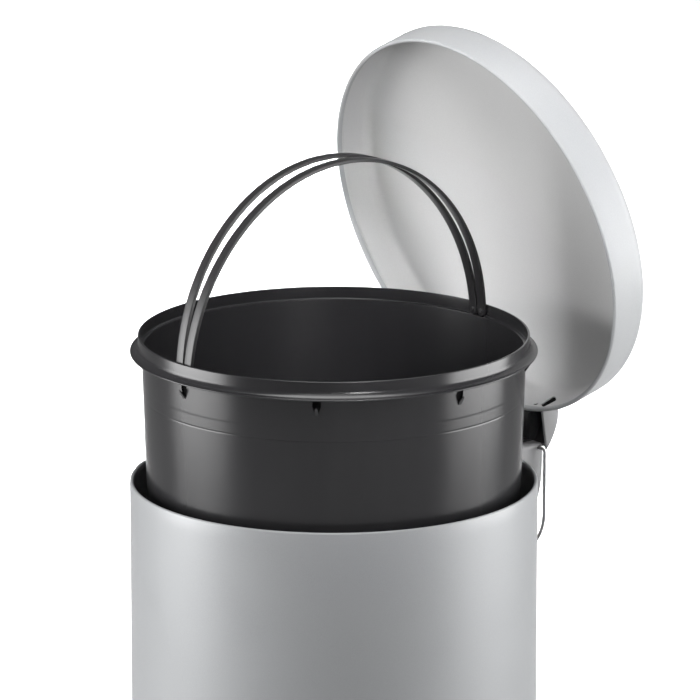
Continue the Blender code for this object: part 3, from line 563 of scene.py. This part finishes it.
def make_can():
    low = CAN_LOW.z
    bead_r = BODY_R - BEAD
    outline = [(BODY_R, low + 0.0006), (BODY_R, low + 0.012), (BODY_R, low + 0.10), (BODY_R, low + 0.22)]
    outline += [(BODY_R, RIM_Z - 0.010)]
    outline += arc((bead_r, RIM_Z - BEAD), BEAD, 0, 180, 10)
    outline += [(bead_r - BEAD, RIM_Z - 0.0036), (BODY_R - SHEET, RIM_Z - 0.0050)]
    outline += [(BODY_R - SHEET, low + 0.0006), (BODY_R - SHEET / 2, low)]
    can = lathe("can_shell", outline, CAN_COAT)
    half, (near, far) = ROD_SLOT_HALF_W, THROUGH
    slot_low, slot_high = RIM_Z - ROD_SLOT_LOW, RIM_Z - ROD_SLOT_HIGH
    rod_slot = block("rod_slot", (-half, near, slot_low), (half, far, slot_high))
    cut(can, pedal_slot_tool(), rod_slot)
    settle(can, "can", "outer_body")


def pedal_slot_tool():
    """The opening for the pedal lever, its top corners rounded."""
    half, top, corner = LEVER_SLOT_HALF_W, LEVER_SLOT_TOP, LEVER_SLOT_CORNER
    outline = rounded([(-half, 0.0, 0.0), (half, 0.0, 0.0), (half, top, corner), (-half, top, corner)])
    return turned(prism("pedal_slot", outline, *THROUGH), -90)


def make_base():
    ring = lathe("base_trim", rounded([
        (BASE_R, BASE_LOW, 0.0010), (BASE_R, BASE_STEP, 0.0014), (BASE_STEP_R, BASE_STEP, 0.0003),
        (BASE_STEP_R, BASE_TOP, 0.0005), (BASE_INNER_R, BASE_TOP, 0.0008),
        (BASE_INNER_R, BASE_LOW, 0.0006),
    ]), BLACK_PLASTIC)
    half, (near, far) = LEVER_SLOT_HALF_W, THROUGH
    back = block("back_notch", (-half, near, NOTCH_LOW), (half, BACK_NOTCH_R, BACK_NOTCH_TOP))
    front = block("front_notch", (-half, -far, NOTCH_LOW), (half, -near, LEVER_SLOT_TOP))
    cut(ring, back, front)
    settle(ring, "can", "base_ring")

    foot = lathe("foot_ring", rounded([
        (FOOT_R, 0.0, 0.0005), (FOOT_R, FOOT_H, 0.0003),
        (FOOT_INNER_R, FOOT_H, 0.0003), (FOOT_INNER_R, 0.0, 0.0005),
    ]), RUBBER)
    settle(foot, "can", "floor_ring")


# The pedal

def pedal_plan(inset, height):
    """Plan outline of the tread at one height: wide rounded front, square back."""
    half = PEDAL_HALF_W - inset
    front, back = PEDAL_TIP + inset, PEDAL_TIP + PEDAL_DEPTH - inset
    front_corner, back_corner = PEDAL_CORNER - inset, PEDAL_BACK_CORNER - inset / 2
    outline = rounded([
        (-half, front, front_corner), (half, front, front_corner),
        (half, back, back_corner), (-half, back, back_corner),
    ], 9)
    return [Vector((x, y, height)) for x, y in outline]


def make_pedal():
    sections = []
    for degrees in range(0, 91, 15):
        turn = math.radians(degrees)
        height = PEDAL_T / 2 - PEDAL_EDGE * (1 - math.cos(turn))
        sections.append(pedal_plan(PEDAL_EDGE * (1 - math.sin(turn)), height))
    mirror = [[Vector((p.x, p.y, -p.z)) for p in ring] for ring in sections[::-1]]
    tread = sweep("tread", sections + mirror, BLACK_PLASTIC)
    cut(tread, block(
        "tread_pocket", (-POCKET_HALF_W, PEDAL_TIP + POCKET_START, -POCKET_HALF_T),
        (POCKET_HALF_W, PEDAL_TIP + POCKET_END, POCKET_HALF_T),
    ))
    settle(tilted(tread), "pedal", "pedal_tread")

    pad = sweep("tread_pad", [
        pedal_plan(PAD_INSET, PAD_LOW), pedal_plan(PAD_INSET, PAD_TOP - 0.0002),
        pedal_plan(PAD_INSET + 0.0003, PAD_TOP),
    ], RUBBER)
    ribs = []
    root = PAD_LOW + 0.0003
    for k in range(RIBS):
        y = PEDAL_TIP + RIB_FIRST + RIB_PITCH * k
        reach = PEDAL_HALF_W - (END_RIB_INSET if k in (0, RIBS - 1) else RIB_INSET)
        bar = rounded([
            (y - RIB_HALF_W, root, 0.0), (y + RIB_HALF_W, root, 0.0),
            (y + RIB_TOP_HALF_W, RIB_TOP, 0.0004), (y - RIB_TOP_HALF_W, RIB_TOP, 0.0004),
        ], 3)
        ribs.append(prism(f"pad_rib_{k}", bar, -reach, reach))
    join(pad, *ribs)
    settle(tilted(pad), "pedal", "pedal_pad")


# The hinge housing

def housing_outline(inset, steps=14):
    """Side view of the housing: a flat top, a rounded back, and a taper down to the can."""
    back = HINGE.y + HOUSING_BACK - inset
    front = BODY_R - 0.006 - 2 * inset
    top = RIM_Z + HOUSING_TOP + 2 * inset
    points = [(front, top)]
    points += arc((back - HOUSING_CORNER, top - HOUSING_CORNER), HOUSING_CORNER, 90, 0, 6)
    depth = back - BODY_R
    belly = RIM_Z + HOUSING_BELLY
    for k in range(steps):
        angle = math.pi / 2 * k / (steps - 1)
        points.append((BODY_R + depth * math.cos(angle), belly - (HOUSING_TAPER - inset) * math.sin(angle)))
    points.append((front, belly - HOUSING_TAPER + inset))
    return points


def make_housing():
    housing = prism("hinge_cover", housing_outline(0.0), -HOUSING_HALF_W, HOUSING_HALF_W, GREY_PLASTIC)
    soften(housing, HOUSING_EDGE, 4)
    room = KNUCKLE_HALF_W + SLACK
    hollow = prism("housing_hollow", housing_outline(HOUSING_WALL), -room, room)
    mouth = block("housing_mouth", (-room, 0.110, RIM_Z - HOUSING_MOUTH), (room, 0.160, RIM_Z + 0.010))
    low, high, wall = RIM_Z - 0.1, RIM_Z + 0.02, BODY_R + 0.0002
    can = lathe("can_room", [(0.0, low), (wall, low), (wall, high), (0.0, high)])
    tools = [can, hollow, mouth]
    for side in (-1, 1):
        start = (side * (HOUSING_HALF_W - BAIL_BORE_DEPTH), HINGE.y, HINGE.z)
        end = (side * (HOUSING_HALF_W + 0.004), HINGE.y, HINGE.z)
        tools.append(drill(f"bail_bore_{side}", start, end, BAIL_WIRE_R + SLACK))
    cut(housing, *tools)
    settle(housing, "can", "hinge_housing")


# The lid

def lid_outline(inset):
    """The lid's section from its skirt to its middle, as (radius, height above the edge)."""
    corner = LID_CORNER - inset
    centre = (LID_R - LID_CORNER, LID_SKIRT)
    turn = math.radians(LID_CORNER_TURN)
    shoulder = (centre[0] + corner * math.cos(turn), centre[1] + corner * math.sin(turn))
    outer_r = centre[0] + LID_CORNER * math.cos(turn)
    dome_r = (outer_r ** 2 + LID_DOME ** 2) / (2 * LID_DOME)
    drop = math.sqrt(dome_r ** 2 - shoulder[0] ** 2)
    points = arc(centre, corner, 0, LID_CORNER_TURN, 10)
    for k in range(23, -1, -1):
        radius = shoulder[0] * k / 24
        points.append((radius, shoulder[1] + math.sqrt(dome_r ** 2 - radius ** 2) - drop))
    return points


def lid_slot(side):
    """The slot in the skirt where the hinge piece clips in."""
    outline = rounded(SLOT_OUTLINE)
    ring = [(side * x, z + LID_EDGE) for x, z in outline]
    return sweep(f"lid_slot_{side}", [[Vector((x, y, z)) for x, z in ring] for y in THROUGH])


def make_lid():
    hem_r = LID_R - HEM
    outline = arc((hem_r, HEM), HEM, -180, 0, 12)
    outline += [(LID_R, 0.010)]
    outline += lid_outline(0.0) + lid_outline(SHEET)[::-1]
    outline += [(LID_R - SHEET, 0.0062), (LID_R - SHEET - 0.0002, 0.0050)]
    outline += [(LID_R - 2 * HEM + 0.0001, 0.0030)]
    lid = lathe("lid_cover", [(r, h + LID_EDGE) for r, h in outline], LID_COAT)
    tools = [lid_slot(side) for side in (-1, 1)]
    for side in (-1, 1):
        start, end = [(side * HOLE_X, y, LID_EDGE + HOLE_UP) for y in THROUGH]
        tools.append(drill(f"lid_hole_{side}", start, end, HOLE_R))
    cut(lid, *tools)
    paint_inside(lid)
    settle(swung(lid), "lid", "lid_shell")


def paint_inside(lid):
    """The primer coat on the lid's inside, from the hem up."""
    lid.data.materials.append(LID_INSIDE)
    inside = len(lid.data.materials) - 1
    for face in lid.data.polygons:
        outward = Vector((face.center.x, face.center.y, 0.0)).normalized()
        faces_in = face.normal.dot(outward) < -0.2 or face.normal.z < -0.2
        if faces_in and face.center.z > LID_EDGE + 2.2 * HEM:
            face.material_index = inside


def cover_outline(inset, front, front_low, tip, steps=18, fullness=0.82):
    """Side view of the closed lid's hinge piece: a quarter of a teardrop."""
    back, top = COVER_TIP - inset, COVER_TOP - inset
    points = [(-front, front_low), tip]
    for k in range(1, steps + 1):
        part = k / steps
        rise = math.sin(part * math.pi / 2) ** fullness
        points.append((back - (back + COVER_REACH) * part, COVER_LOW + (top - COVER_LOW) * rise))
    points.append((-front, top + 0.0002))
    return [(HINGE.y + y, HINGE.z + z) for y, z in points]


def clip_plate():
    """A curved plate that lies on the outside of the lid's skirt, over its two slots."""
    steps = 24
    outline = []
    for radius, direction in ((LID_R + PLATE_T, 1), (LID_R - 0.001, -1)):
        for k in range(steps + 1):
            x = direction * PLATE_HALF_W * (2 * k / steps - 1)
            outline.append((x, math.sqrt(radius ** 2 - x ** 2)))
    heights = (LID_EDGE + PLATE_LOW, LID_EDGE + PLATE_TOP)
    return sweep("clip_plate", [[Vector((x, y, z)) for x, y in outline] for z in heights])


def crank_arm():
    """The arm that pulls the push rod up, and its round nose."""
    half_open = LID_OPEN / 2
    along = Vector((0, -math.cos(half_open), -math.sin(half_open)))
    across = Vector((0, math.sin(half_open), -math.cos(half_open)))
    nose = HINGE + along * CRANK_R
    root = across * (KNUCKLE_R - 0.0004)
    neck = across * CRANK_NECK
    corners = [HINGE + root, nose + neck, nose - neck, HINGE - root]
    arm = prism("crank", [(p.y, p.z) for p in corners], -CRANK_HALF_W, CRANK_HALF_W)
    half_w = Vector((CRANK_HALF_W, 0, 0))
    return [arm, drill("crank_nose", nose - half_w, nose + half_w, CRANK_NOSE_R)]


def make_hinge_piece():
    half, room = COVER_HALF_W, COVER_HALF_W - COVER_WALL
    outline = cover_outline(0.0, COVER_FRONT, COVER_FRONT_LOW, (COVER_TIP, COVER_LOW))
    piece = prism("lid_knuckle_cover", outline, -half, half, GREY_PLASTIC)
    soften(piece, COVER_EDGE, 3)
    hollow_outline = cover_outline(COVER_WALL, COVER_FRONT + 0.01, -0.004, (0.004, -0.004))
    hollow = prism("hollow", hollow_outline, -room, room)
    round_room = drill("knuckle_room", (-room, HINGE.y, HINGE.z), (room, HINGE.y, HINGE.z), KNUCKLE_ROOM)
    low, high, skirt = LID_EDGE - 0.01, LID_EDGE + 0.04, LID_R + 0.0002
    skirt_room = lathe("skirt_room", [(0.0, low), (skirt, low), (skirt, high), (0.0, high)])
    cut(piece, hollow)
    join(piece, clip_plate())
    cut(piece, round_room, skirt_room)

    barrel_ends = (-KNUCKLE_HALF_W, HINGE.y, HINGE.z), (KNUCKLE_HALF_W, HINGE.y, HINGE.z)
    parts = [drill("barrel", *barrel_ends, KNUCKLE_R)]
    web = [(HINGE.y + y, HINGE.z + z) for y, z in WEB_OUTLINE]
    for side in (-1, 1):
        low_x, high_x = sorted((side * WEB_NEAR, side * WEB_FAR))
        parts.append(prism(f"web_{side}", web, low_x, high_x))
        near, far = sorted((side * (TAB_X - TAB_HALF_W), side * (TAB_X + TAB_HALF_W)))
        tab_low, tab_high = LID_EDGE + TAB_LOW, LID_EDGE + TAB_HIGH
        parts.append(block(f"tab_{side}", (near, TAB_INNER_Y, tab_low), (far, TAB_OUTER_Y, tab_high)))
    join(piece, *parts, *crank_arm())
    bore_ends = [(side * PIN_BORE_REACH, HINGE.y, HINGE.z) for side in (-1, 1)]
    cut(piece, drill("pin_bore", *bore_ends, PIN_BORE_R))
    paint_hollow_shade(piece)
    settle(swung(piece), "lid", "lid_hinge_piece")


def paint_hollow_shade(piece):
    """Painted shade: black plastic inside the grey hinge piece, and a near-black material on its clips
    where they show through the lid's slots.
    """
    shell = cover_outline(0.0, COVER_FRONT, COVER_FRONT_LOW, (COVER_TIP, COVER_LOW))
    edges = [(Vector(a), Vector(b)) for a, b in zip(shell, shell[1:])]
    for material in (BLACK_PLASTIC, SHADE_PAINT):
        piece.data.materials.append(material)
    dark = len(piece.data.materials) - 1
    for face in piece.data.polygons:
        centre = face.center
        spot = Vector((centre.y, centre.z))
        depth = min((closest_on(spot, *edge) - spot).length for edge in edges)
        # painted shade: faces deep inside the grey piece take black plastic
        if depth > DARK_DEPTH and abs(centre.x) < COVER_HALF_W - DARK_DEPTH:
            face.material_index = dark - 1
        # painted shade: clip faces seen through the lid's slots take the near-black material
        if math.hypot(centre.x, centre.y) < LID_R + 0.0004 and centre.z > LID_EDGE + 0.003:
            face.material_index = dark


def closest_on(spot, start, end):
    """The point of a straight edge that is nearest to a spot."""
    along = end - start
    part = (spot - start).dot(along) / along.length_squared
    return start + along * min(max(part, 0.0), 1.0)


# The bucket and its hoops

def wall_radius(height):
    """Outer radius of the bucket's wall at a height."""
    part = (FLANGE_Z - height) / (FLANGE_Z - BUCKET_LOW.z)
    return BUCKET_TOP_R - (BUCKET_TOP_R - BUCKET_BOTTOM_R) * part


def hook_opening(degrees):
    """The recess over a hook: straight sides that close to a point below. Its faces take painted shade, a
    near-black material, from the cutter.
    """
    half, point = HOOK_HALF_W, HOOK_POINT_HALF_W
    top, turn, low = FLANGE_Z - 0.0001, FLANGE_Z - HOOK_TURN, FLANGE_Z - HOOK_LOW
    outline = [(-half, top), (-half, turn), (-point, low), (point, low), (half, turn), (half, top)]
    rings = []
    for out in (-HOOK_DEPTH, 0.004):
        rings.append([Vector((wall_radius(min(z, FLANGE_Z)) + out, y, z)) for y, z in outline])
    return turned(sweep(f"hook_recess_{degrees}", rings, SHADE_PAINT), degrees)


def hook_prong(degrees):
    """A pointed tongue that leans out from the hole's lower end."""
    root, tip = FLANGE_Z - PRONG_ROOT, FLANGE_Z - PRONG_TIP
    wall = wall_radius(root)
    sections = []
    for part, thick, half in PRONG_SECTIONS:
        out = wall - 0.0008 + PRONG_LEAN * part
        z = root + (tip - root) * part
        inner, outer = (out, z + 0.3 * thick), (out + thick * 0.7, z - 0.3 * thick)
        corners = ((inner, -half), (inner, half), (outer, half), (outer, -half))
        sections.append([Vector((r, y, height)) for (r, height), y in corners])
    return turned(sweep(f"hook_prong_{degrees}", sections), degrees)


def bucket_outline():
    floor, top = BUCKET_LOW.z, BUCKET_HIGH.z
    collar_in = COLLAR_R - COLLAR_WALL
    ledge = FLANGE_Z + LEDGE_UP
    inner = BUCKET_WALL
    step_z, groove_z = FLANGE_Z - STEP_DOWN, FLANGE_Z - GROOVE_DOWN
    outer = [
        (0.0, floor + 0.0012), (PUNT_R, floor + 0.0012), (PUNT_R + 0.003, floor),
        (BUCKET_BOTTOM_R - 0.006, floor), (BUCKET_BOTTOM_R - 0.0018, floor + 0.0018),
        (BUCKET_BOTTOM_R, floor + 0.006),
    ]
    outer += [(wall_radius(z), z) for z in (floor + 0.10, floor + 0.20, groove_z - 0.004)]
    outer += [(wall_radius(groove_z + up) - dip, groove_z + up) for up, dip in (
        (-0.0009, 0.0), (-0.0004, 0.0), (-0.0001, GROOVE), (0.0001, GROOVE), (0.0004, 0.0), (0.0009, 0.0),
    )]
    outer += [(wall_radius(step_z + up) + out, step_z + up) for up, out in (
        (-0.0009, 0.0), (-0.0003, 0.0), (0.0003, STEP), (0.0009, STEP),
    )]
    outer += [(wall_radius(z) + STEP, z) for z in (FLANGE_Z - 0.0020, FLANGE_Z - 0.0010)]
    outer += [(BUCKET_TOP_R + STEP + 0.0003, FLANGE_Z - 0.0003), (BUCKET_TOP_R + STEP + 0.0010, FLANGE_Z)]
    flange_edge = rounded([
        (FLANGE_R - 0.003, FLANGE_Z, 0.0), (FLANGE_R, FLANGE_Z, 0.0005),
        (FLANGE_R, FLANGE_Z + FLANGE_LIP, 0.0004), (FLANGE_R - 0.0005, FLANGE_Z + FLANGE_LIP, 0.0),
    ])
    fillet_centre = (COLLAR_R + FLANGE_FILLET, FLANGE_Z + FLANGE_LIP + FLANGE_FILLET)
    fillet = arc(fillet_centre, FLANGE_FILLET, 270, 180, 14)
    lip = arc((COLLAR_R - 0.00045, top - 0.00045), 0.00045, 0, 90, 4)
    lip += arc((collar_in + 0.0004, top - 0.0004), 0.0004, 90, 180, 4)
    inside = [
        (collar_in, ledge + 0.0006), (collar_in - 0.0003, ledge + 0.0001), (collar_in - 0.0008, ledge),
        (BUCKET_TOP_R - inner + 0.0006, ledge), (BUCKET_TOP_R - inner + 0.0001, ledge - 0.0002),
        (BUCKET_TOP_R - inner, ledge - 0.0008), (wall_radius(floor + 0.15) - inner, floor + 0.15),
        (BUCKET_BOTTOM_R - inner, floor + 0.006), (BUCKET_BOTTOM_R - 0.0030, floor + 0.0032),
        (BUCKET_BOTTOM_R - 0.006, floor + 0.0018), (PUNT_R + 0.004, floor + 0.0018),
        (PUNT_R, floor + FLOOR_TOP), (0.0, floor + FLOOR_TOP),
    ]
    return outer + flange_edge + fillet + lip + inside


def make_bucket():
    bucket = lathe("bin_bucket", bucket_outline(), BUCKET_PLASTIC)
    # the hook recesses take painted shade from their cutters
    cut(bucket, *[hook_opening(angle) for angle in HOOK_ANGLES])
    join(bucket, *[hook_prong(angle) for angle in HOOK_ANGLES])
    bores = []
    for side in HOOP_LEANS:
        pivot = hoop_pivot(side)
        for end in (-1, 1):
            start = pivot + Vector((0, end * (COLLAR_R - 0.006), 0))
            finish = pivot + Vector((0, end * (COLLAR_R - STUD_BORE_END), 0))
            bores.append(drill(f"stud_bore_{side}_{end}", start, finish, STUD_BORE_R))
    cut(bucket, *bores)
    settle(bucket, "bucket", "bucket")


def hoop_pivot(side):
    return Vector(JOINTS[f"hoop_{side}_fold"]["pos_m"])


def hoop_ring(outer, inner, half_w, edge):
    """The band's section between an outer and an inner point, corners rounded."""
    across = (outer - inner).normalized()
    depth = (outer - inner).length / 2
    middle = (outer + inner) / 2
    edge = min(edge, half_w * 0.9)
    ends = ((-1, -1), (1, -1), (1, 1), (-1, 1))
    corners = [(a * half_w, b * depth, edge) for a, b in ends]
    return [middle + Vector((a, 0, 0)) + across * b for a, b in rounded(corners, 3)]


def make_hoop(side):
    """A flat band bent to a half circle, its ends rounded, with a stud on each end."""
    half_w, steps = HOOP_W / 2, 120
    first = math.asin(HOOP_DROP / HOOP_RISE_R)
    places = []
    for k in range(steps + 1):
        angle = first + (math.pi - 2 * first) * k / steps
        faces = []
        for inset in (0.0, HOOP_T):
            span, rise = HOOP_SPAN_R - inset, HOOP_RISE_R - inset
            faces.append(Vector((0, span * math.cos(angle), rise * math.sin(angle) - HOOP_DROP)))
        places.append((*faces, half_w))
    for place, at_start in ((places[0], True), (places[-1], False)):
        caps = []
        for degrees in range(10, 86, 15):
            turn = math.radians(degrees)
            drop = Vector((0, 0, half_w * math.sin(turn)))
            caps.append((place[0] - drop, place[1] - drop, half_w * math.cos(turn)))
        places = caps[::-1] + places if at_start else places + caps
    hoop = sweep(f"carry_hoop_{side}", [hoop_ring(*place, HOOP_EDGE) for place in places], HOOP_PLASTIC)
    studs = []
    for end in (-1, 1):
        start = (0, end * (HOOP_SPAN_R - HOOP_T * 1.25), 0)
        finish = (0, end * (COLLAR_R - STUD_END), 0)
        studs.append(rod(f"stud_{side}_{end}", start, finish, STUD_R))
    join(hoop, *studs)
    lean = Matrix.Rotation(math.radians(HOOP_LEANS[side]), 4, "Y")
    hoop.data.transform(Matrix.Translation(hoop_pivot(side)) @ lean)
    settle(hoop, f"{side}_hoop", f"hoop_{side}")


# The wire bail

def make_bail():
    tip = Vector((HOUSING_HALF_W - BAIL_TIP_DEPTH, HINGE.y, HINGE.z))
    side = Vector((BAIL_HALF_W, HINGE.y, HINGE.z))
    low = side - Vector((0, 0, BAIL_LEG))
    half = [tip] + bend(tip, side, low, BAIL_BEND)
    centre = Vector((0, HINGE.y, HINGE.z - BAIL_LEG))
    bow, steps = [], 48
    for k in range(steps + 1):
        angle = math.pi * k / steps
        bow.append(centre + Vector((math.cos(angle), 0, -math.sin(angle))) * BAIL_HALF_W)
    mirrored = [Vector((-p.x, p.y, p.z)) for p in half]
    bail = wire("wire_bail", half + bow + mirrored[::-1], BAIL_WIRE_R, BRIGHT_WIRE)
    settle(bail, "bail", "carry_bail")


# CAD pieces that stay: a fine finish on each

STAYING = ["bottom_plate", "pedal_bracket", "pedal_pin", "hinge_pin", "pedal_lever", "push_rod"]
for rivet_side in ("left", "right"):
    STAYING += [f"bracket_rivet_{rivet_side}_{end}" for end in ("front", "back")]
    STAYING += [f"housing_rivet_{rivet_side}_{end}" for end in ("top", "bottom")]


def finish_cad_nodes():
    for name in STAYING:
        node = frame["nodes"][name]
        node.data.materials.clear()
        node.data.materials.append(PLAIN_STEEL)


# Studio

CAMERA_AT = Vector((3.0660, -2.5710, 1.46288))
LOOK_AT = Vector((0.00636, 0.00755, 0.44079))
LENS = 348.07
CAMERA_AZIMUTH = math.degrees(math.atan2(CAMERA_AT.x - LOOK_AT.x, LOOK_AT.y - CAMERA_AT.y))
LIGHTS_AIM = Vector((0.0, 0.0, 0.42))
BACKGROUND_AIM = Vector((-1.74, 1.46, 0.0))   # the stretch of floor seen behind the bin
LID_AIM = Vector((-0.08, 0.14, 0.51))         # the inside of the open lid
SOFTBOXES = (   # name, azimuth, elevation, distance, width, height, watts, spread, aim
    ("softbox_left", -85, 0, 1.25, 0.95, 0.72, 7.6, 110.0, LIGHTS_AIM),
    ("softbox_right", 92, 0, 1.25, 1.10, 0.72, 7.4, 110.0, LIGHTS_AIM),
    ("softbox_top", 0, 82, 2.2, 1.6, 1.6, 52, 180.0, LIGHTS_AIM),
    ("softbox_front", -4, 48, 2.2, 1.2, 1.2, 11, 180.0, LIGHTS_AIM),
    ("softbox_lid", 14, 16, 1.5, 0.34, 0.34, 0.25, 16.0, LID_AIM),
    ("background_light", 180, 80, 3.2, 0.45, 3.0, 42, 17.0, BACKGROUND_AIM),
)
FLOOR_R = 40.0
FLOOR_DOWN = 0.0002                           # keeps the floor clear of the bin's foot
SKY_LIGHT = 0.11


def make_camera():
    data = bpy.data.cameras.new("camera")
    data.lens = LENS
    data.sensor_width = 36.0
    data.clip_start, data.clip_end = 0.1, 60.0
    camera = bpy.data.objects.new("camera", data)
    camera.location = CAMERA_AT
    camera.rotation_euler = (LOOK_AT - CAMERA_AT).to_track_quat("-Z", "Y").to_euler()
    bpy.context.scene.collection.objects.link(camera)
    bpy.context.scene.camera = camera


def make_softbox(name, azimuth, elevation, distance, width, height, watts, spread, aim):
    """An area light round the bin; azimuth is counted from the camera's side, in degrees."""
    data = bpy.data.lights.new(name, "AREA")
    data.shape = "RECTANGLE"
    data.size = width
    data.size_y = height
    data.energy = watts
    data.spread = math.radians(spread)
    lamp = bpy.data.objects.new(name, data)
    a, e = math.radians(CAMERA_AZIMUTH + azimuth), math.radians(elevation)
    out = Vector((math.sin(a) * math.cos(e), -math.cos(a) * math.cos(e), math.sin(e)))
    lamp.location = aim + out * distance
    lamp.rotation_euler = (-out).to_track_quat("-Z", "Y").to_euler()
    bpy.context.scene.collection.objects.link(lamp)


def make_floor():
    bm = bmesh.new()
    bmesh.ops.create_circle(bm, cap_ends=True, radius=FLOOR_R, segments=96)
    finish = Finish("floor_pale", (0.50, 0.50, 0.50), specular=0.1)
    cloudy = finish.noise(1.5, 2.0)
    colour = finish.blend(cloudy, finish.tint(0.99), finish.tint(1.01))
    material = finish.done(colour, finish.spread(cloudy, 0.75, 0.85))
    floor = add_mesh("floor", bm, material)
    floor.location.z = -FLOOR_DOWN


def make_studio():
    world = bpy.data.worlds.new("studio")
    bpy.context.scene.world = world
    world.use_nodes = True
    background = world.node_tree.nodes["Background"]
    background.inputs["Color"].default_value = (1.0, 1.0, 1.0, 1.0)
    background.inputs["Strength"].default_value = SKY_LIGHT
    for softbox in SOFTBOXES:
        make_softbox(*softbox)
    bpy.context.scene.view_settings.view_transform = "Standard"


make_camera()
make_can()
make_base()
make_pedal()
make_housing()
make_lid()
make_hinge_piece()
make_bucket()
for hoop_side in HOOP_LEANS:
    make_hoop(hoop_side)
make_bail()
finish_cad_nodes()
make_floor()
make_studio()

bpy.context.view_layer.update()
